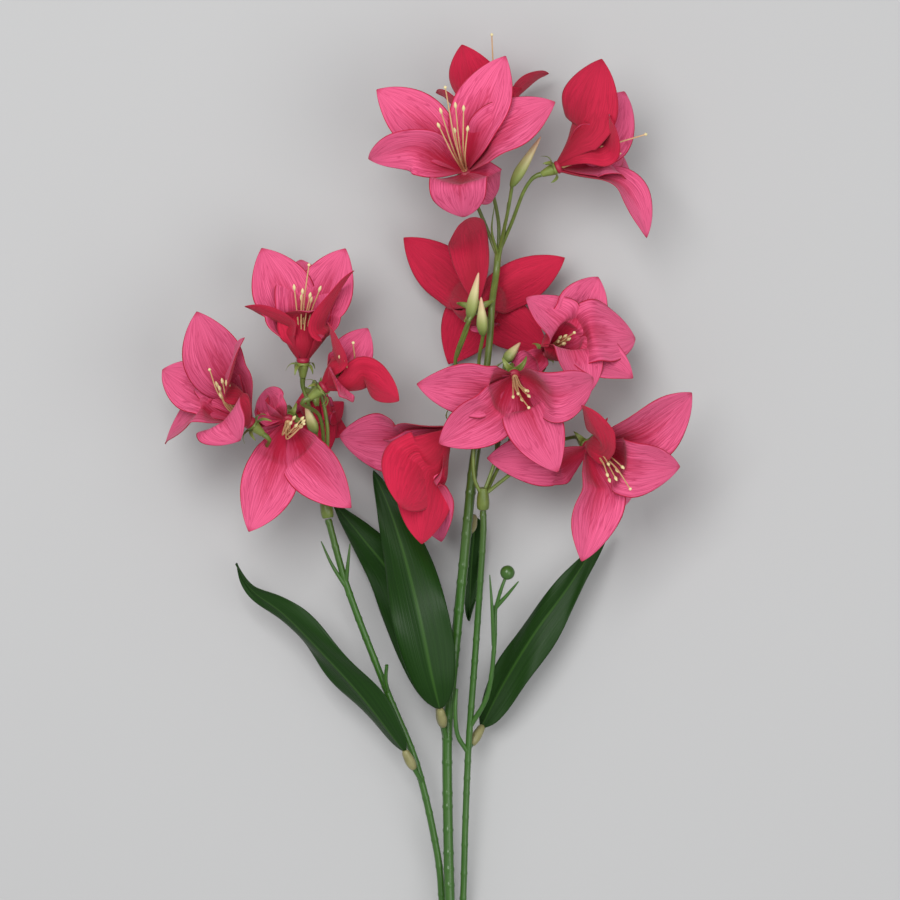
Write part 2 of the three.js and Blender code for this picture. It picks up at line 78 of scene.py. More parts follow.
# seat: where the petals meet; axis: the way the flower looks; pistil: tip of the style from the seat.
# A petal is its bearing about the axis, its opening from the axis, the reach of its tip, then the
# droop of the tip, the twist of the blade, a width factor and a length factor.
FLOWERS = {
    "top_front": {
        "seat": (6, 343, 50), "axis": (-0.15, 0.4, 0.9), "pistil": (-9, 35, 45), "petals": [
            (0, 78, 27, 75), (58, 135, 20, 20, 0, 0.7, 0.6), (117, 67, 53, 20), (152, 58, 56, 12),
            (232, 52, 56, 20), (272, 64, 46, 55, -60, 0.85)]},
    "top_back": {
        "seat": (16, 359, 36), "axis": (0.1, 0.9, -0.35), "pistil": (2, 47, -2), "petals": [
            (62, 46, 46, 0), (100, 22, 30, 0, 0, 0.8, 0.7), (207, 32, 50, 10, -10),
            (150, 30, 28, 10, 0, 0.8, 0.7),
            (268, 34, 42, 0), (325, 46, 42, 0)]},
    "top_side": {
        "seat": (47, 345, 50), "axis": (0.9, 0.38, 0.1), "pistil": (40, 15, 0), "petals": [
            (15, 44, 54, 5, 62, 1.15), (53, 30, 38, 40, 0, 0.8, 0.8), (183, 60, 52, 35, 40, 0.75),
            (240, 45, 42),
            (287, 40, 44), (328, 30, 48, 20, -50)]},
    "middle_back": {
        "seat": (11, 282, 42), "axis": (0.05, 0.1, -1), "pistil": (2, 5, -26), "petals": [
            (61, 64, 50, 25, 0, 0.8), (124, 52, 48, 25, 0, 0.9), (207, 42, 46), (265, 22, 36),
            (312, 64, 51, 25, 0, 0.9),
            (354, 112, 46, 40, 25, 0.75)]},
    "right_upper": {
        "seat": (42, 262, 28), "axis": (0.5, 0.35, 0.75), "pistil": (13, 9, 20), "petals": [
            (10, 55, 32, 50), (92, 125, 20, 0, 0, 0.6, 0.7), (150, 50, 40, 30), (200, 50, 44, 20),
            (240, 58, 43, 40, 0, 1.15), (295, 52, 43, 20)]},
    "centre_front": {
        "seat": (28, 252, 46), "axis": (0.1, -0.4, 0.9), "pistil": (6, -15, 36), "petals": [
            (26, 42, 52, 15), (60, 120, 26, 25, 0, 0.8, 0.7), (100, 58, 41, 70),
            (285, 100, 24, 0, 0, 0.7, 0.6),
            (266, 72, 48, 20), (306, 70, 47)]},
    "right_lower": {
        "seat": (61, 220, 46), "axis": (0.45, -0.35, 0.8), "pistil": (18, -19, 35), "petals": [
            (62, 66, 32, 40, 100), (144, 118, 46, 0), (204, 61, 53, 15), (262, 99, 46), (304, 47, 44, 40),
            (346, 65, 54, 25, 0, 1.15)]},
    "centre_nodding": {
        "seat": (0, 228, 40), "axis": (-0.75, -0.6, -0.05), "pistil": (-18, -13, 1), "petals": [
            (20, 38, 55, 10, 45, 1.15), (62, 36, 49, 15, 10, 1.3), (203, 36, 54, 10, 55, 1.1),
            (250, 44, 44), (300, 40, 42),
            (343, 46, 54, 15, -50)]},
    "left_upright": {
        "seat": (-67, 258, 46), "axis": (0.02, 1, 0.25), "pistil": (3, 43, 14), "petals": [
            (10, 44, 38, 20, 35, 0.6, 0.8), (105, 20, 28, 50, 0, 0.9, 0.6), (172, 26, 49, 5, -12, 0.85),
            (222, 26, 55, 8, 40), (275, 32, 50), (322, 27, 55, 8, -38, 1.1)]},
    "left_side": {
        "seat": (-58, 246, 56), "axis": (0.8, 0.6, 0.05), "pistil": (14, 20, 14), "size": 0.75, "petals": [
            (32, 50, 33, 15), (110, 75, 24, 10), (155, 48, 38, 25, -50), (235, 30, 30, 10, 0, 0.8, 0.8),
            (275, 30, 30, 10, 0, 0.8, 0.8), (315, 22, 35, 10, -30)]},
    "left_back": {
        "seat": (-62, 243, 32), "axis": (0, -0.5, -0.85), "pistil": (-1, -12, -20), "size": 0.7, "petals": [
            (15, 28, 32), (75, 32, 32), (135, 28, 32), (195, 28, 32), (255, 36, 32), (315, 32, 32)]},
    "left_cup": {
        "seat": (-90, 230, 57), "axis": (-0.7, 0.62, 0.35), "pistil": (-18, 24, 12), "petals": [
            (62, 78, 20, 90, 0, 1.15, 0.85), (160, 40, 44, 20), (213, 27, 56, 10, 42, 1.1), (244, 62, 46),
            (283, 45, 53, 10),
            (325, 66, 44)]},
    "left_open": {
        "seat": (-74, 232, 38), "axis": (0, -0.5, 0.85), "pistil": (8, -2, 28), "petals": [
            (135, 118, 18, 20, 0, 0.7, 0.6), (165, 125, 17, 20, 0, 0.7, 0.6),
            (195, 118, 18, 20, 0, 0.7, 0.6),
            (225, 122, 17, 20, 0, 0.7, 0.6), (244, 43, 56, 10), (318, 47, 52, 10)]},
}


def colour(hex_value):
    """An sRGB hex colour as linear red, green, blue and alpha."""
    parts = [int(hex_value[i:i + 2], 16) / 255 for i in (1, 3, 5)]
    return [c / 12.92 if c <= 0.04045 else ((c + 0.055) / 1.055) ** 2.4 for c in parts] + [1.0]


def new_material(name, roughness, **shader):
    """A material with its shader's constant sockets set; returns it, its shader and its node tree."""
    material = bpy.data.materials.new(name)
    material.use_nodes = True
    bsdf = material.node_tree.nodes["Principled BSDF"]
    bsdf.inputs["Roughness"].default_value = roughness
    for socket, value in shader.items():
        bsdf.inputs[socket.replace("_", " ")].default_value = value
    return material, bsdf, material.node_tree


def add_node(tree, kind, settings=None, inputs=None):
    """One node with its settings; an input is a value or another node's output."""
    made = tree.nodes.new(kind)
    for key, value in (settings or {}).items():
        setattr(made, key, value)
    for key, value in (inputs or {}).items():
        if isinstance(value, bpy.types.NodeSocket):
            tree.links.new(value, made.inputs[key])
        else:
            made.inputs[key].default_value = value
    return made


def polyester(name, ground, vein, flush, vein_depth):
    """Heat-set polyester: a matt woven cloth with a soft sheen. Veins fan from heel to tip, 1 to 3 mm
    apart at the widest, and the heel is flushed crimson in streaks along the midrib."""
    material, bsdf, tree = new_material(name, 0.75, Sheen_Weight=0.08, Sheen_Roughness=0.5,
                                        Specular_IOR_Level=0.25)
    uv = add_node(tree, "ShaderNodeUVMap", {"uv_map": "petal"}).outputs["UV"]
    dye = add_node(tree, "ShaderNodeAttribute", {"attribute_name": "dye"}).outputs["Fac"]
    split = add_node(tree, "ShaderNodeSeparateXYZ", None, {0: uv})
    # distance from the midrib, 0 to 1 at the margin
    across = add_node(tree, "ShaderNodeMath", {"operation": "SUBTRACT"}, {0: split.outputs["X"], 1: 0.5})
    across = add_node(tree, "ShaderNodeMath", {"operation": "ABSOLUTE"}, {0: across.outputs[0]})
    across = add_node(tree, "ShaderNodeMath", {"operation": "MULTIPLY"}, {0: across.outputs[0], 1: 2.0})
    # every petal takes its own stretch of the pattern, and its lines waver a little
    shift = add_node(tree, "ShaderNodeCombineXYZ", None, {"X": dye, "Y": dye, "Z": dye})
    moved = add_node(tree, "ShaderNodeVectorMath", {"operation": "ADD"}, {0: uv, 1: shift.outputs[0]})
    waver = add_node(tree, "ShaderNodeTexNoise", None,
                     {"Vector": moved.outputs[0], "Scale": 9.0, "Detail": 2.0})
    waver = add_node(tree, "ShaderNodeVectorMath", {"operation": "MULTIPLY_ADD"},
                     {0: waver.outputs["Color"], 1: (0.05, 0.12, 0.0), 2: moved.outputs[0]})
    # branching veins: the edges of cells drawn out along the petal
    net = add_node(tree, "ShaderNodeMapping", None, {"Vector": waver.outputs[0], "Scale": (24, 2.6, 1)})
    cells = add_node(tree, "ShaderNodeTexVoronoi", {"feature": "DISTANCE_TO_EDGE"},
                     {"Vector": net.outputs[0], "Scale": 1.0})
    lines = add_node(tree, "ShaderNodeMapRange", None,
                     {"Value": cells.outputs["Distance"], "From Min": 0.0, "From Max": 0.12,
                      "To Min": 1.0, "To Max": 0.0})
    # softer streaks between them
    long_way = add_node(tree, "ShaderNodeMapping", None,
                        {"Vector": waver.outputs[0], "Scale": (26, 2.0, 9)})
    streaks = add_node(tree, "ShaderNodeTexNoise", None,
                       {"Vector": long_way.outputs[0], "Scale": 1.0, "Detail": 4.0, "Roughness": 0.65})
    soft = add_node(tree, "ShaderNodeMapRange", None,
                    {"Value": streaks.outputs["Fac"], "From Min": 0.38, "From Max": 0.62,
                     "To Min": 0.45, "To Max": 0.0})
    both = add_node(tree, "ShaderNodeMath", {"operation": "MAXIMUM"},
                    {0: lines.outputs[0], 1: soft.outputs[0]})
    # the veins fade towards the tip
    fade = add_node(tree, "ShaderNodeMapRange", None,
                    {"Value": split.outputs["Y"], "From Min": 0.1, "From Max": 1.0,
                     "To Min": vein_depth, "To Max": vein_depth * 0.5})
    depth = add_node(tree, "ShaderNodeMath", {"operation": "MULTIPLY"},
                     {0: both.outputs[0], 1: fade.outputs[0]})
    veined = add_node(tree, "ShaderNodeMix", {"data_type": "RGBA"},
                      {"Factor": depth.outputs[0], 6: colour(ground), 7: colour(vein)})
    # crimson flush at the heel, streaking out along the midrib
    reach = add_node(tree, "ShaderNodeMath", {"operation": "MULTIPLY_ADD"},
                     {0: across.outputs[0], 1: 0.42, 2: split.outputs["Y"]})
    reach = add_node(tree, "ShaderNodeMath", {"operation": "MULTIPLY_ADD"},
                     {0: streaks.outputs["Fac"], 1: 0.55, 2: reach.outputs[0]})
    warm = add_node(tree, "ShaderNodeMapRange", None,
                    {"Value": reach.outputs[0], "From Min": 0.58, "From Max": 1.10,
                     "To Min": 0.95, "To Max": 0.0})
    flushed = add_node(tree, "ShaderNodeMix", {"data_type": "RGBA"},
                       {"Factor": warm.outputs[0], 6: veined.outputs[2], 7: colour(flush)})
    # the cut margin and the point took up more dye
    rim = add_node(tree, "ShaderNodeMapRange", None,
                   {"Value": across.outputs[0], "From Min": 0.93, "From Max": 1.0,
                    "To Min": 0.0, "To Max": 0.5})
    edged = add_node(tree, "ShaderNodeMix", {"data_type": "RGBA"},
                     {"Factor": rim.outputs[0], 6: flushed.outputs[2], 7: colour(flush)})
    point = add_node(tree, "ShaderNodeMapRange", None,
                     {"Value": split.outputs["Y"], "From Min": 0.95, "From Max": 1.0,
                      "To Min": 0.0, "To Max": 0.7})
    edged = add_node(tree, "ShaderNodeMix", {"data_type": "RGBA"},
                     {"Factor": point.outputs[0], 6: edged.outputs[2], 7: colour(flush)})
    # one petal's dye lot is a little lighter or darker than the next
    lot = add_node(tree, "ShaderNodeMapRange", None,
                   {"Value": dye, "From Min": 0.0, "From Max": 6.0, "To Min": 0.9, "To Max": 1.08})
    tint = add_node(tree, "ShaderNodeHueSaturation", None,
                    {"Value": lot.outputs[0], "Color": edged.outputs[2]})
    tree.links.new(tint.outputs[0], bsdf.inputs["Base Color"])
    # pressed veins and puckers
    relief = add_node(tree, "ShaderNodeMath", {"operation": "MULTIPLY_ADD"},
                      {0: lines.outputs[0], 1: -0.5, 2: streaks.outputs["Fac"]})
    bump = add_node(tree, "ShaderNodeBump", None,
                    {"Strength": 0.35, "Distance": 0.0007, "Height": relief.outputs[0]})
    tree.links.new(bump.outputs[0], bsdf.inputs["Normal"])
    return material


petal_face = polyester("heat_set_polyester_printed_face", "#dd5a84", "#9c1644", "#a50a30", 0.9)
petal_back = polyester("heat_set_polyester_dyed_back", "#c41a40", "#8c0a28", "#9a0d2a", 0.6)


def bearing_axes(axis):
    """Two directions square to the axis; bearings are measured from the first."""
    u = (Vector((0, 0, 1)) if abs(axis.z) < 0.9 else Vector((1, 0, 0))).cross(axis).normalized()
    return u, axis.cross(u)


def on_bezier(p, t):
    """Point and direction at t on the curve with control points p."""
    a, b, c, d = p
    s = 1 - t
    point = a * s ** 3 + b * 3 * s * s * t + c * 3 * s * t * t + d * t ** 3
    heading = (b - a) * 3 * s * s + (c - b) * 6 * s * t + (d - c) * 3 * t * t
    return point, heading.normalized()


def midrib(seat, axis, tip, opening, droop, heel, length):
    """The curve of a petal's midrib: its handles grow until it is as long as the petal."""
    rim = (tip - axis * tip.dot(axis)).normalized()
    start, end = seat + axis * heel[1] + rim * heel[0], seat + tip
    reach = (end - start).length
    chord = (end - start) / reach
    out = -(axis - chord * axis.dot(chord)).normalized()
    b, a = math.radians(max(36, 0.65 * opening)), math.radians(droop)
    first = axis * math.cos(b) + rim * math.sin(b)
    last = chord * math.cos(a) + out * math.sin(a)
    low, high = 0.1, 1.3
    for _ in range(16):
        s = (low + high) / 2
        points = (start, start + first * reach * s * 0.7, end - last * reach * s, end)
        walk = [on_bezier(points, i / 24)[0] for i in range(25)]
        if sum((q - p).length for p, q in zip(walk, walk[1:])) < length:
            low = s
        else:
            high = s
    return points, axis.cross(rim).normalized()


PETAL_ROWS = 20
PETAL_STEPS = 2 * PETAL_ROWS


def evenly(p, steps=PETAL_STEPS):
    """Curve parameters at even steps of length along the curve."""
    walk = [on_bezier(p, i / 80)[0] for i in range(81)]
    run = [0.0]
    for a, b in zip(walk, walk[1:]):
        run.append(run[-1] + (b - a).length)
    marks, k = [], 0
    for i in range(steps + 1):
        want = run[-1] * i / steps
        while k < 79 and run[k + 1] < want:
            k += 1
        marks.append((k + (want - run[k]) / (run[k + 1] - run[k])) / 80)
    return marks


def petal_outline(t):
    """Half width along the midrib, as a share of the widest."""
    return abs(math.sin(math.pi * t ** 1.2)) ** 0.84 + 0.10 * (1 - t) ** 2 + 0.012


def lay_petal(bm, dye_layer, seat, axis, spec, inner, size, lot):
    """One petal: a flat grid laid along its midrib, cupped at the heel and rippled at the margin."""
    bearing, opening, reach, droop, twist, wide, long = (*spec, *(25, 0, 1, 1)[len(spec) - 3:])
    u, _ = bearing_axes(axis)
    rim = Matrix.Rotation(math.radians(bearing), 3, axis) @ u
    tip = (axis * math.cos(math.radians(opening)) + rim * math.sin(math.radians(opening))) * reach
    heel = (1.5, 1.4) if inner else (2.1, 0.6)
    curve, cross = midrib(seat, axis, tip, opening, droop, heel, PETAL_LENGTH * size * long)
    marks = evenly(curve)
    phase, curl = random.uniform(0, 6.28), random.uniform(-0.05, 0.10)
    grid = bmesh.ops.create_grid(bm, x_segments=8, y_segments=PETAL_ROWS, size=1, calc_uvs=True)
    for vert in grid["verts"]:
        x, t = -vert.co.x, (vert.co.y + 1) / 2
        middle, heading = on_bezier(curve, marks[round(t * PETAL_STEPS)])
        side = Matrix.Rotation(math.radians(twist) * min(1, 1.6 * t), 3, heading) @ cross
        side = (side - heading * side.dot(heading)).normalized()
        face = heading.cross(side)
        half = PETAL_HALF_WIDTH * size * wide * petal_outline(t)
        lift = half * x * x * (0.45 * (1 - t) ** 2 + 0.16 - curl * t)
        lift -= 0.8 * math.exp(-(x / 0.18) ** 2) * math.sin(math.pi * t)
        lift += 1.3 * size * math.sin(7 * t + 2.6 * x + phase) * x * x * math.sin(math.pi * t ** 0.8)
        lift -= 1.6 * size * max(0, t - 0.85) ** 2 / 0.0225
        spot = middle + side * (x * half) + face * lift
        vert.co = place(*spot)
        vert[dye_layer] = lot


for name, flower in FLOWERS.items():
    random.seed(name)
    seat, axis = Vector(flower["seat"]), Vector(flower["axis"]).normalized()
    size = flower.get("size", 1)
    bm = bmesh.new()
    bm.loops.layers.uv.new("petal")
    dye_layer = bm.verts.layers.float.new("dye")
    for i, spec in enumerate(flower["petals"]):
        lay_petal(bm, dye_layer, seat, axis, spec, i % 2 == 1, size, random.uniform(0, 6))
    mesh = bpy.data.meshes.new(f"{name}_cloth")
    bm.to_mesh(mesh)
    bm.free()
    mesh.shade_smooth()
    petals = bpy.data.objects.new(f"{name}_cloth", mesh)
    bpy.context.collection.objects.link(petals)
    mesh.materials.append(petal_face)
    mesh.materials.append(petal_back)
    wall = petals.modifiers.new("cloth_thickness", "SOLIDIFY")
    wall.thickness, wall.offset = CLOTH_THICKNESS, 0
    wall.material_offset = wall.material_offset_rim = 1
    smooth = petals.modifiers.new("smooth", "SUBSURF")
    smooth.levels = smooth.render_levels = 1
    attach(petals, "root")
    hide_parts(f"{name}_petals")


# ---- Calyxes ----
# A soft polyethylene cup under each flower, moulded with five pointed sepals that curl outwards.
# The petals' ring sits on its rim, and the stamens' pin goes down its bore.
CUP_HEIGHT = 7.5


def polyethylene(name, low, high, roughness, scale_mm, relief=0.25):
    """Moulded polyethylene: waxy and slightly mottled, with fine flow marks of scale_mm."""
    material, bsdf, tree = new_material(name, roughness, Specular_IOR_Level=0.5)
    spot = add_node(tree, "ShaderNodeTexCoord").outputs["Object"]
    cloud = add_node(tree, "ShaderNodeTexNoise", None,
                     {"Vector": spot, "Scale": 1000 / (scale_mm * 6), "Detail": 3.0})
    tone = add_node(tree, "ShaderNodeMix", {"data_type": "RGBA"},
                    {"Factor": cloud.outputs["Fac"], 6: colour(low), 7: colour(high)})
    tree.links.new(tone.outputs[2], bsdf.inputs["Base Color"])
    grain = add_node(tree, "ShaderNodeTexNoise", None,
                     {"Vector": spot, "Scale": 1000 / scale_mm, "Detail": 2.0})
    bump = add_node(tree, "ShaderNodeBump", None,
                    {"Strength": relief, "Distance": 0.0003, "Height": grain.outputs["Fac"]})
    tree.links.new(bump.outputs[0], bsdf.inputs["Normal"])
    return material


calyx_green = polyethylene("moulded_polyethylene_calyx", "#5c7030", "#8a9648", 0.45, 0.8)


def turned_piece(bm, profile, at, axis, steps=18):
    """Adds a turned shape to bm, standing at `at` along `axis`; returns its vertices. The profile is
    (radius, height) pairs that start and end on the axis, where the turned points are merged."""
    own = bmesh.new()
    made = [own.verts.new((r, 0, h)) for r, h in profile]
    edges = [own.edges.new(pair) for pair in zip(made, made[1:])]
    bmesh.ops.spin(own, geom=made + edges, cent=(0, 0, 0), axis=(0, 0, 1), angle=math.tau, steps=steps,
                   use_merge=True)
    bmesh.ops.remove_doubles(own, verts=own.verts, dist=0.001)
    bmesh.ops.recalc_face_normals(own, faces=own.faces)
    turn = Vector((0, 0, 1)).rotation_difference(axis).to_matrix()
    for vert in own.verts:
        vert.co = place(*(at + turn @ vert.co))
    return merge_into(bm, own)


def merge_into(bm, own):
    """Moves the mesh own into bm and returns its vertices there."""
    scratch = bpy.data.meshes.new("scratch")
    own.to_mesh(scratch)
    own.free()
    before = len(bm.verts)
    bm.from_mesh(scratch)
    bpy.data.meshes.remove(scratch)
    bm.verts.ensure_lookup_table()
    return bm.verts[before:]


def piece_from(bm, name, material, nodes, smooth_level=0):
    """Finishes bm as a named piece that rides on the root and stands for its CAD nodes."""
    mesh = bpy.data.meshes.new(name)
    bm.to_mesh(mesh)
    bm.free()
    mesh.shade_smooth()
    mesh.materials.append(material)
    piece = bpy.data.objects.new(name, mesh)
    bpy.context.collection.objects.link(piece)
    if smooth_level:
        smooth = piece.modifiers.new("smooth", "SUBSURF")
        smooth.levels = smooth.render_levels = smooth_level
    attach(piece, "root")
    if nodes:
        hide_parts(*nodes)
    return piece


def curl_blade(bm, curve, cross, half, thick, groove=0.0, across=4, along=10):
    """A pointed blade along a bezier: sepals, bracts and needles. Thickened with solidify."""
    own = bmesh.new()
    grid = bmesh.ops.create_grid(own, x_segments=across, y_segments=along, size=1)
    for vert in grid["verts"]:
        x, t = -vert.co.x, (vert.co.y + 1) / 2
        middle, heading = on_bezier(curve, t)
        side = (cross - heading * cross.dot(heading)).normalized()
        width = half(t)
        vert.co = place(*(middle + side * (x * width) + heading.cross(side) * (groove * width * x * x)))
    bmesh.ops.solidify(own, geom=own.faces[:], thickness=thick * 0.001)
    bmesh.ops.recalc_face_normals(own, faces=own.faces)
    merge_into(bm, own)


for name, flower in FLOWERS.items():
    random.seed(name + "_calyx")
    seat, axis = Vector(flower["seat"]), Vector(flower["axis"]).normalized()
    u, _ = bearing_axes(axis)
    bm = bmesh.new()
    turned_piece(bm, [(0, -CUP_HEIGHT), (1.2, -CUP_HEIGHT), (1.5, -7.0), (1.9, -5.2), (2.4, -3.2),
                      (2.8, -1.4),
                      (2.9, -0.6), (2.6, -0.3), (1.0, -0.3), (1.0, -5), (0, -5)], seat, axis, 20)
    for i in range(5):
        rim = Matrix.Rotation(math.tau * (i + random.uniform(-0.2, 0.2)) / 5, 3, axis) @ u
        reach = random.uniform(0.85, 1.2)
        curve = [seat + rim * (r * (reach if r > 4 else 1)) + axis * h for r, h in
                 ((2.2, -2.2), (4.2, -0.6), (6.6, -1.0), (7.8, -4.6))]
        curl_blade(bm, curve, axis.cross(rim), lambda t: 1.7 * (1 - t) ** 0.8 + 0.16, 0.45, 0.35)
    piece_from(bm, f"{name}_calyx_moulding", calyx_green, [f"{name}_calyx"])


# ---- Petal rings ----
# The small moulded polyethylene ring that grips the six petals' heels, dyed crimson like them. It
# sits on the calyx's rim and the stamens' pin goes through it.
ring_crimson = polyethylene("moulded_polyethylene_petal_ring", "#8f1230", "#a81c3c", 0.5, 0.5)
for name, flower in FLOWERS.items():
    bm = bmesh.new()
    turned_piece(bm, [(0, -0.25), (2.6, -0.25), (3.0, 0.1), (3.0, 1.2), (2.5, 2.0), (1.4, HUB_HEIGHT),
                      (0, HUB_HEIGHT)],
                 Vector(flower["seat"]), Vector(flower["axis"]).normalized(), 20)
    piece_from(bm, f"{name}_petal_ring", ring_crimson, [])


# ---- Stamens ----
# One polyethylene moulding in each flower: six thin filaments and a longer style on a button whose
# pin holds the petals down on the calyx. The ends are dipped pale, as pollen.
filament_tan = polyethylene("moulded_polyethylene_filament", "#bd8f5e", "#d6b486", 0.5, 0.5)
pollen_cream = polyethylene("dipped_pollen_ends", "#e6d9a8", "#d9c98a", 0.7, 0.4, 0.5)


def smooth_route(route, spacing):
    """Points every `spacing` mm on a smooth curve through the route."""
    pts = [Vector(p) for p in route]
    pts = [pts[0] * 2 - pts[1]] + pts + [pts[-1] * 2 - pts[-2]]
    walk = []
    for a, b, c, d in zip(pts, pts[1:], pts[2:], pts[3:]):
        n = max(1, round((c - b).length / spacing))
        for i in range(n):
            t = i / n
            walk.append(0.5 * (2 * b + (c - a) * t + (2 * a - 5 * b + 4 * c - d) * t * t
                               + (3 * b - a - 3 * c + d) * t ** 3))
    return walk + [pts[-2]]


def rods(name, strands, material, nodes, sides=2):
    """Round rods as one curve piece; a strand is a list of (point, radius) pairs in millimetres."""
    data = bpy.data.curves.new(name, "CURVE")
    data.dimensions = "3D"
    data.bevel_depth = 0.001
    data.bevel_resolution = sides
    data.use_fill_caps = True
    for strand in strands:
        spline = data.splines.new("POLY")
        spline.points.add(len(strand) - 1)
        for knot, (point, radius) in zip(spline.points, strand):
            knot.co = (*place(*point), 1)
            knot.radius = radius
        spline.use_smooth = True
    data.materials.append(material)
    piece = bpy.data.objects.new(name, data)
    bpy.context.collection.objects.link(piece)
    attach(piece, "root")
    if nodes:
        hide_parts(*nodes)
    return piece


for name, flower in FLOWERS.items():
    random.seed(name + "_stamens")
    seat, axis = Vector(flower["seat"]), Vector(flower["axis"]).normalized()
    u, v = bearing_axes(axis)
    style = Vector(flower["pistil"])
    threads, tips = [], []
    for i in range(7):
        angle = math.tau * i / 6 + random.uniform(-0.25, 0.25)
        side = u * math.cos(angle) + v * math.sin(angle)
        share = 1.0 if i == 6 else random.uniform(0.55, 0.78)
        lean = 0 if i == 6 else style.length * share * random.uniform(0.10, 0.2)
        start = seat + axis * (HUB_HEIGHT + 0.6) + side * (0 if i == 6 else 0.9)
        end = seat + style * share + side * lean
        bend = start + axis * (style.length * share * 0.5) + side * (lean * 0.3)
        walk = smooth_route([start, bend, end], 2)
        threads.append([(p, 0.42 - 0.14 * k / len(walk)) for k, p in enumerate(walk)])
        nose = (walk[-1] - walk[-2]).normalized()
        long = 1.6 if i == 6 else 3.4
        tips.append([(end + nose * long * (k / 6 - 0.5), 0.75 * math.sin(math.pi * (k + 0.35) / 6.7))
                     for k in range(7)])
    button = [(seat + axis * h, r) for h, r in ((0.4, 0.6), (2.2, 0.62), (2.5, 1.4), (3.4, 1.5),
                                                (3.9, 0.9))]
    rods(f"{name}_filaments", threads + [button], filament_tan, [f"{name}_stamens"])
    rods(f"{name}_anthers", tips, pollen_cream, [])


# ---- Heads ----
# The top of each branch is one polyethylene moulding: a collar on the branch's end, bare pedicels to
# the flowers, needle bracts at the forks, and closed buds. Its green is mottled; the brown towards the
# stem is drawn on the branch sleeves.
HEADS = {
    "left_head": {
        "stem": [(-56, 187.5, 36), (-58, 200, 36), (-60, 212, 37)], "radius": 2.0,
        "pedicels": {
            "left_upright": [(-60, 210, 37), (-62, 228, 37), (-65, 240, 42)],
            "left_side": [(-59, 208, 37), (-58, 222, 36), (-60, 234, 42)],
            "left_back": [(-58, 206, 37), (-56, 226, 41), (-59, 244, 45)],
            "left_cup": [(-60, 209, 37), (-68, 216, 28), (-79, 216, 32), (-83.5, 219, 44)],
            "left_open": [(-59, 205, 36), (-64, 216, 28), (-70, 232, 24)]},
        "buds": [[(-60, 210, 37), (-60, 218, 36), (-61.5, 226, 40), (-66, 239, 47)]],
        "needles": [[(-59, 208, 38), (-64, 214, 41), (-67, 222, 40)]]},
    "centre_head": {
        "stem": [(12, 227, 36), (14, 241, 36), (17, 268, 38), (18, 284, 39), (20, 298, 30), (21, 309, 31)],
        "radius": 1.55,
        "pedicels": {
            "top_front": [(20.5, 306, 30), (16, 318, 29), (10.5, 331, 33)],
            "top_back": [(21, 307, 30), (21, 322, 30), (17.5, 338, 36)],
            "top_side": [(21, 307, 31), (27, 321, 38), (32, 334, 46)],
            "middle_back": [(13, 232, 37), (4, 243, 40), (1.5, 258, 44), (5, 270, 53), (8, 277, 57)]},
        "buds": [[(21, 307, 31), (25, 325, 44), (27, 337, 50), (40, 359, 56)],
                 [(2, 260, 45), (6, 270, 53), (8, 277, 55), (12, 298, 60)],
                 [(13, 232, 37), (12, 256, 44), (14, 270, 53), (13, 287, 58)]],
        "needles": [[(21, 306, 31), (18, 317, 38), (19, 328, 41)],
                    [(21, 304, 31), (24, 318, 36), (25, 330, 39)],
                    [(14, 252, 36), (17, 254, 39), (23, 258, 41)]]},
    "right_head": {
        "stem": [(14, 191.5, 40), (14, 199, 42)], "radius": 1.9,
        "pedicels": {
            "centre_nodding": [(14, 197, 42), (10, 206, 45), (9.5, 222, 46)],
            "centre_front": [(14, 198, 42), (20, 216, 38), (25, 246, 30)],
            "right_lower": [(14.5, 198, 42), (30, 210, 37), (46, 221, 32)],
            "right_upper": [(15, 198, 41), (26, 222, 27), (32, 244, 15)]},
        "buds": [[(20, 216, 38.3), (21, 238, 39), (24, 258, 34), (31, 267, 34)]],
        "needles": []},
}
head_green = polyethylene("moulded_polyethylene_head", "#45561b", "#72823a", 0.36, 0.8)
bud_cream = new_material("moulded_polyethylene_bud", 0.5)[0]
along = add_node(bud_cream.node_tree, "ShaderNodeAttribute", {"attribute_name": "along"}).outputs["Fac"]
ramp = add_node(bud_cream.node_tree, "ShaderNodeValToRGB", None, {0: along})
for stop, (spot, tone) in enumerate(((0.0, "#55692a"), (0.3, "#8a9350"), (0.6, "#c3b985"),
                                     (1.0, "#cf9f86"))):
    element = ramp.color_ramp.elements[stop] if stop < 2 else ramp.color_ramp.elements.new(spot)
    element.position, element.color = spot, colour(tone)
bud_cream.node_tree.links.new(ramp.outputs[0],
                              bud_cream.node_tree.nodes["Principled BSDF"].inputs["Base Color"])

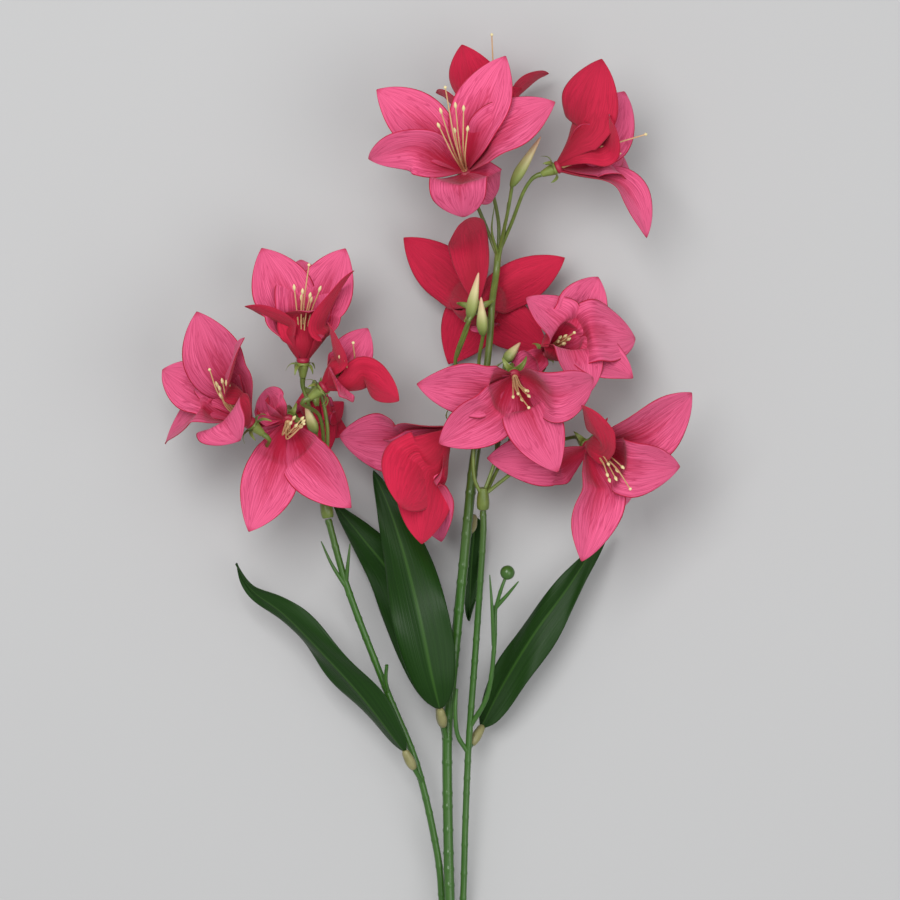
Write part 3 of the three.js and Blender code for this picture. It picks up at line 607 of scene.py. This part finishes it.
for name, head in HEADS.items():
    random.seed(name)
    strands = [[(p, head["radius"]) for p in smooth_route(head["stem"], 2)]]
    first, then = Vector(head["stem"][0]), Vector(head["stem"][1])
    up = (then - first).normalized()
    collar = ((0, 2.2), (0.4, 2.7), (3, 2.9), (6, 2.7), (8, 2.3), (10, 1.9))
    strands.append([(first + up * h, r) for h, r in collar])
    for flower_name, route in head["pedicels"].items():
        flower = FLOWERS[flower_name]
        seat, axis = Vector(flower["seat"]), Vector(flower["axis"]).normalized()
        foot = seat - axis * (CUP_HEIGHT + 0.1)
        walk = smooth_route([*route, foot - axis * 4, foot], 2)
        strands.append([(p, 0.85 + 0.45 * max(0, 1 - (len(walk) - 1 - k) / 3)) for k, p in enumerate(walk)])
    bm = bmesh.new()
    along_layer = bm.verts.layers.float.new("along")
    for route in head["buds"]:
        *stalk, tip = [Vector(p) for p in route]
        strands.append([(p, 0.8) for p in smooth_route(stalk, 2)])
        axis, tall = (tip - stalk[-1]).normalized(), (tip - stalk[-1]).length
        made = turned_piece(bm, [(0, -1.2)] + [(r, h * tall) for r, h in
                            ((1.0, -0.03), (2.1, 0.08), (2.7, 0.22), (2.6, 0.36), (1.9, 0.58), (1.1, 0.8),
                             (0.5, 0.95))]
                            + [(0, tall)], stalk[-1], axis, 16)
        turn = bearing_axes(axis)[0]
        foot = place(*stalk[-1])
        for vert in made:
            local = (vert.co - foot) * 1000
            height = local.dot(axis)
            vert[along_layer] = max(0.0, min(1.0, height / tall))
            spoke = local - axis * height
            if spoke.length > 0.1:
                angle = math.atan2(spoke.dot(axis.cross(turn)), spoke.dot(turn))
                vert.co += spoke * 0.001 * 0.10 * math.cos(3 * angle)
    piece_from(bm, f"{name}_buds", bud_cream, [], 1)
    for route in head["needles"]:
        walk = smooth_route(route, 2)
        strands.append([(p, 0.75 * (1 - k / len(walk)) + 0.12) for k, p in enumerate(walk)])
    rods(f"{name}_moulding", strands, head_green, [name], 3)


# ---- Branches ----
# Each branch is a polyethylene sleeve pulled over steel wire, glossy, with low rings every 4 to
# 13 mm. Side shoots and the leaves' stubs are moulded on, and one shoot ends in a round knob.
BRANCHES = {
    "left_branch": (1.6, [(-3, -12, 8), (-4.5, 12, 10), (-7, 36, 14), (-16, 75, 20), (-30, 110, 26),
                          (-47, 155, 33), (-56, 187, 36)], [
        (0.7, [(-47, 155, 33), (-54, 166, 36), (-59, 177, 40)]),
        (0.7, [(-48, 158, 33.5), (-47, 167, 37), (-46, 176, 39)]),
        (1.0, [(-29, 107, 25.5), (-30, 114, 30), (-29.5, 121, 33)]),
        (1.1, [(-13.5, 67, 19), (-17, 73, 24), (-19, 77, 26)])]),
    "centre_branch": (2.3, [(0, -12, 13), (-1, 12, 15), (-2, 59, 15), (-2, 91, 18), (0, 114, 22),
                            (5, 164, 29),
                            (9, 205, 34), (12, 226.5, 36)], [
        (1.3, [(-2, 84, 17), (-3.5, 91, 21), (-4.5, 96, 25)]),
        (1.1, [(-2, 82, 17), (-4, 90, 12), (-5, 96, 9)]),
        (1.0, [(5, 174, 30), (8, 180, 27), (9, 184, 23)])]),
    "right_branch": (1.5, [(3, -12, 8), (5, 12, 11), (6, 45, 15), (7, 72, 18), (8, 91, 21), (11, 132, 28),
                           (14, 178, 38), (14, 191, 40)], [
        (1.2, [(8, 92, 21), (16, 107, 28), (19, 128, 34), (19.5, 148, 38)]),
        (0.7, [(19, 130, 34.5), (18, 148, 41), (17, 162, 43)]),
        (0.9, [(19.5, 146, 38), (22, 155, 41), (25, 163, 42)]),
        (0.7, [(19.5, 147, 38), (25, 153, 40), (30, 159, 42)]),
        (1.1, [(7, 81, 19.5), (2.5, 89, 23), (1.5, 100, 26), (2, 110, 27)]),
        (1.1, [(7.5, 82, 19), (9.5, 85, 16), (11, 87.5, 15)])]),
}
KNOB = ((25, 163, 42), 3.3)
stem_green, stem_shader, stem_tree = new_material("sleeved_polyethylene_stem", 0.28, Specular_IOR_Level=0.5)
spot = add_node(stem_tree, "ShaderNodeTexCoord").outputs["Object"]
height = add_node(stem_tree, "ShaderNodeSeparateXYZ", None, {0: spot})
# green below, brown where the sleeve meets the head
brown = add_node(stem_tree, "ShaderNodeMapRange", None,
                 {"Value": height.outputs["Y"], "From Min": CROWN.y + 0.15, "From Max": CROWN.y + 0.23,
                  "To Min": 0.0, "To Max": 0.7})
streak = add_node(stem_tree, "ShaderNodeMapping", None, {"Vector": spot, "Scale": (900, 60, 900)})
flow = add_node(stem_tree, "ShaderNodeTexNoise", None,
                {"Vector": streak.outputs[0], "Scale": 1.0, "Detail": 2.0})
green = add_node(stem_tree, "ShaderNodeMix", {"data_type": "RGBA"},
                 {"Factor": flow.outputs["Fac"], 6: colour("#275016"), 7: colour("#3f6823")})
aged = add_node(stem_tree, "ShaderNodeMix", {"data_type": "RGBA"},
                {"Factor": brown.outputs[0], 6: green.outputs[2], 7: colour("#46441e")})
stem_tree.links.new(aged.outputs[2], stem_shader.inputs["Base Color"])
ripple = add_node(stem_tree, "ShaderNodeBump", None,
                  {"Strength": 0.3, "Distance": 0.0003, "Height": flow.outputs["Fac"]})
stem_tree.links.new(ripple.outputs[0], stem_shader.inputs["Normal"])


def ringed(walk, radius, taper=0.0, gap=(4, 13)):
    """Radii along a sleeve: a slight taper, and low rings at uneven gaps in millimetres."""
    strand, travelled, ring = [], 0.0, random.uniform(*gap)
    for k, p in enumerate(walk):
        if k:
            travelled += (p - walk[k - 1]).length
        if travelled > ring + 1.5:
            ring = travelled + random.uniform(*gap)
        bulge = 0.13 * math.exp(-((travelled - ring) / 0.7) ** 2)
        strand.append((p, radius * (1 - taper * k / len(walk) + bulge)))
    return strand


for name, (radius, route, shoots) in BRANCHES.items():
    random.seed(name)
    strands = [ringed(smooth_route(route, 0.8), radius, 0.05)]
    for shoot_radius, shoot in shoots:
        walk = smooth_route(shoot, 1.0)
        if shoot_radius < 0.8:
            strands.append([(p, 1.0 * (1 - k / len(walk)) ** 0.6 + 0.1) for k, p in enumerate(walk)])
        else:
            strands.append(ringed(walk, shoot_radius, 0.25))
    if name == "right_branch":
        centre, r = Vector(KNOB[0]), KNOB[1]
        nose = Vector((0.35, 0.9, 0.2)).normalized()
        strands.append([(centre + nose * r * math.cos(a), max(0.05, r * math.sin(a))) for a in
                        [math.pi - math.pi * k / 12 for k in range(13)]])
    rods(f"{name}_sleeve", strands, stem_green, [name], 3)


# ---- Wire cores ----
# Soft steel wire runs through every stem, so that it can be bent and stays bent. It is drawn wire,
# with faint lines along it, and shows only at the cut end.
drawn_wire, wire_shader, wire_tree = new_material("drawn_steel_wire", 0.35, Metallic=1.0)
spot = add_node(wire_tree, "ShaderNodeTexCoord").outputs["Object"]
lines = add_node(wire_tree, "ShaderNodeMapping", None, {"Vector": spot, "Scale": (6000, 80, 6000)})
scratch = add_node(wire_tree, "ShaderNodeTexNoise", None, {"Vector": lines.outputs[0], "Scale": 1.0})
tone = add_node(wire_tree, "ShaderNodeMix", {"data_type": "RGBA"},
                {"Factor": scratch.outputs["Fac"], 6: colour("#7d7f82"), 7: colour("#a9abad")})
wire_tree.links.new(tone.outputs[2], wire_shader.inputs["Base Color"])
for name in ("main_wire", "left_wire", "centre_wire", "right_wire"):
    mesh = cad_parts[name].data
    mesh.materials.clear()
    mesh.materials.append(drawn_wire)


# ---- Main stem ----
# A thicker polyethylene sleeve over a heavier wire. Its top swells into the crown, a moulded collar
# that the three branches go into; the other end is the cut.
random.seed("main_stem")
shank = ringed(smooth_route([(0, -129.8, 4.3), (0, -70, 6), (0, -20, 9.6)], 1.0), 3.95, 0.0, (18, 34))
crown_up = Vector((0, 1, 0.05)).normalized()
crown = [(Vector((0, -20, 10)) + crown_up * h, r) for h, r in
         ((0, 3.9), (1.5, 4.6), (5, 6.2), (7, 6.6), (14, 6.6), (16, 6.3), (17.5, 5.6), (18, 4.6))]
rods("main_stem_sleeve", [shank, crown], stem_green, ["main_stem"], 5)


# ---- Leaves ----
# Five strap leaves of embossed polyethylene sheet, dark green with a satin face, a paler pressed
# midrib and fine parallel veins. Each is folded a little along the midrib and pushed into a socket.
LEAF_THICKNESS = 0.0007
LEAVES = {
    "left_leaf": ([(-21.3, 81.7, 28.3), (-40, 106, 31), (-58, 126, 33), (-76, 144, 29), (-91, 155, 25),
                   (-98, 167, 27)], 10, (0.45, 0.45, 0.75)),
    "centre_leaf": ([(-5.5, 101, 29), (-9, 116, 36), (-15, 145, 36), (-22, 172, 26), (-29, 193, 18),
                     (-36, 209, 14)], 12.4, (1, 0.25, 0.15)),
    "back_leaf": ([(-6, 101, 7), (-13, 125, 6), (-26, 158, 8), (-40, 177, 12), (-54, 194, 14)],
                  12, (0.8, 0.6, 0.1)),
    "small_leaf": ([(10, 188, 19), (10.5, 184, 13), (9, 166, 9), (8, 140, 8)], 5, (1, 0, 0.3)),
    "right_leaf": ([(13.6, 91.8, 13.2), (24, 112, 14), (38, 135, 17), (54, 157, 16), (71, 183, 12)],
                   9.5, (0.75, -0.5, 0.55)),
}
leaf_green, leaf_shader, leaf_tree = new_material("embossed_polyethylene_leaf", 0.42,
                                                  Specular_IOR_Level=0.16)
uv = add_node(leaf_tree, "ShaderNodeUVMap", {"uv_map": "leaf"}).outputs["UV"]
split = add_node(leaf_tree, "ShaderNodeSeparateXYZ", None, {0: uv})
off_rib = add_node(leaf_tree, "ShaderNodeMath", {"operation": "SUBTRACT"}, {0: split.outputs["X"], 1: 0.5})
off_rib = add_node(leaf_tree, "ShaderNodeMath", {"operation": "ABSOLUTE"}, {0: off_rib.outputs[0]})
rib = add_node(leaf_tree, "ShaderNodeMapRange", None,
               {"Value": off_rib.outputs[0], "From Min": 0.012, "From Max": 0.04,
                "To Min": 0.65, "To Max": 0.0})
stretch = add_node(leaf_tree, "ShaderNodeMapping", None, {"Vector": uv, "Scale": (34, 1.2, 1)})
vein = add_node(leaf_tree, "ShaderNodeTexNoise", None,
                {"Vector": stretch.outputs[0], "Scale": 1.0, "Detail": 3.0, "Distortion": 0.3})
ground = add_node(leaf_tree, "ShaderNodeMix", {"data_type": "RGBA"},
                  {"Factor": vein.outputs["Fac"], 6: colour("#0f2a07"), 7: colour("#1f4010")})
ribbed = add_node(leaf_tree, "ShaderNodeMix", {"data_type": "RGBA"},
                  {"Factor": rib.outputs[0], 6: ground.outputs[2], 7: colour("#35591f")})
leaf_tree.links.new(ribbed.outputs[2], leaf_shader.inputs["Base Color"])
emboss = add_node(leaf_tree, "ShaderNodeBump", None,
                  {"Strength": 0.4, "Distance": 0.0006, "Height": vein.outputs["Fac"]})
leaf_tree.links.new(emboss.outputs[0], leaf_shader.inputs["Normal"])


def leaf_outline(t):
    """Half width along a leaf, as a share of the widest."""
    return abs(math.sin(math.pi * t ** 0.72)) ** 0.8 + 0.1 * (1 - t) ** 2 + 0.02


for name, (route, half, side) in LEAVES.items():
    random.seed(name)
    walk = smooth_route(route, 1.0)
    last = len(walk) - 1
    bm = bmesh.new()
    bm.loops.layers.uv.new("leaf")
    grid = bmesh.ops.create_grid(bm, x_segments=10, y_segments=34, size=1, calc_uvs=True)
    phase = random.uniform(0, 6)
    for vert in grid["verts"]:
        x, t = -vert.co.x, (vert.co.y + 1) / 2
        k = min(int(t * last), last - 1)
        middle = walk[k].lerp(walk[k + 1], t * last - k)
        heading = (walk[min(k + 2, last)] - walk[max(k - 1, 0)]).normalized()
        cross = Vector(side)
        cross = (cross - heading * cross.dot(heading)).normalized()
        width = half * leaf_outline(t)
        lift = width * 0.22 * abs(x) ** 1.5 + 2.0 * math.sin(13 * t + phase + 3 * x) * x * x * min(1, 3 * t)
        lift -= 0.5 * math.exp(-(x / 0.08) ** 2) * (1 - t)
        vert.co = place(*(middle + cross * (x * width) + heading.cross(cross) * lift))
    leaf = piece_from(bm, f"{name}_blade", leaf_green, [name])
    wall = leaf.modifiers.new("sheet_thickness", "SOLIDIFY")
    wall.thickness, wall.offset = LEAF_THICKNESS, 0
    smooth = leaf.modifiers.new("smooth", "SUBSURF")
    smooth.levels = smooth.render_levels = 1


# ---- Leaf sockets ----
# Olive, half-clear polyethylene sleeves, pinched at both ends, that join each leaf's base to its stub.
SOCKETS = {
    "left_leaf": ((-17, 73, 24), (-19, 77, 26)), "centre_leaf": ((-3.5, 91, 21), (-4.5, 96, 25)),
    "back_leaf": ((-4, 90, 12), (-5, 96, 9)), "small_leaf": ((8, 180, 27), (9, 184, 23)),
    "right_leaf": ((9.5, 85, 16), (11, 87.5, 15)),
}
socket_olive = polyethylene("clear_olive_polyethylene_socket", "#6e6a3c", "#9a9668", 0.35, 0.6, 0.5)
for name, (a, b) in SOCKETS.items():
    a, b = Vector(a), Vector(b)
    up = (b - a).normalized()
    profile = ((-4.6, 0.6), (-4.0, 1.5), (-2.6, 2.0), (-0.5, 2.35), (1.4, 2.25), (3.4, 2.0), (5, 1.8),
               (6.2, 1.1))
    rods(f"{name}_socket_sleeve", [[(b + up * h, r) for h, r in profile]], socket_olive,
         [f"{name}_socket"], 3)


# ---- Table and light ----
# A plain pale table and soft, even studio light from large overhead boxes.
bm = bmesh.new()
bmesh.ops.create_grid(bm, x_segments=1, y_segments=1, size=4)
mesh = bpy.data.meshes.new("table_top")
bm.to_mesh(mesh)
bm.free()
table_paint = new_material("matt_painted_board", 0.9, Specular_IOR_Level=0.1)[0]
table_paint.node_tree.nodes["Principled BSDF"].inputs["Base Color"].default_value = colour("#b5b5b5")
mesh.materials.append(table_paint)
table = bpy.data.objects.new("table_top", mesh)
bpy.context.collection.objects.link(table)

world = bpy.data.worlds.new("studio")
world.use_nodes = True
world.node_tree.nodes["Background"].inputs["Color"].default_value = colour("#f4f5f7")
world.node_tree.nodes["Background"].inputs["Strength"].default_value = 0.55
bpy.context.scene.world = world
for light_name, spot, watts, span in (("key_box", (-350, 650, 1500), 17, 0.8),
                                      ("fill_box", (800, -100, 1500), 9, 1.2)):
    light = bpy.data.lights.new(light_name, "AREA")
    light.energy, light.size = watts, span
    lamp = bpy.data.objects.new(light_name, light)
    lamp.location = place(*spot)
    aim = place(0, 215, 40) - lamp.location
    lamp.rotation_euler = aim.to_track_quat("-Z", "Y").to_euler()
    bpy.context.collection.objects.link(lamp)
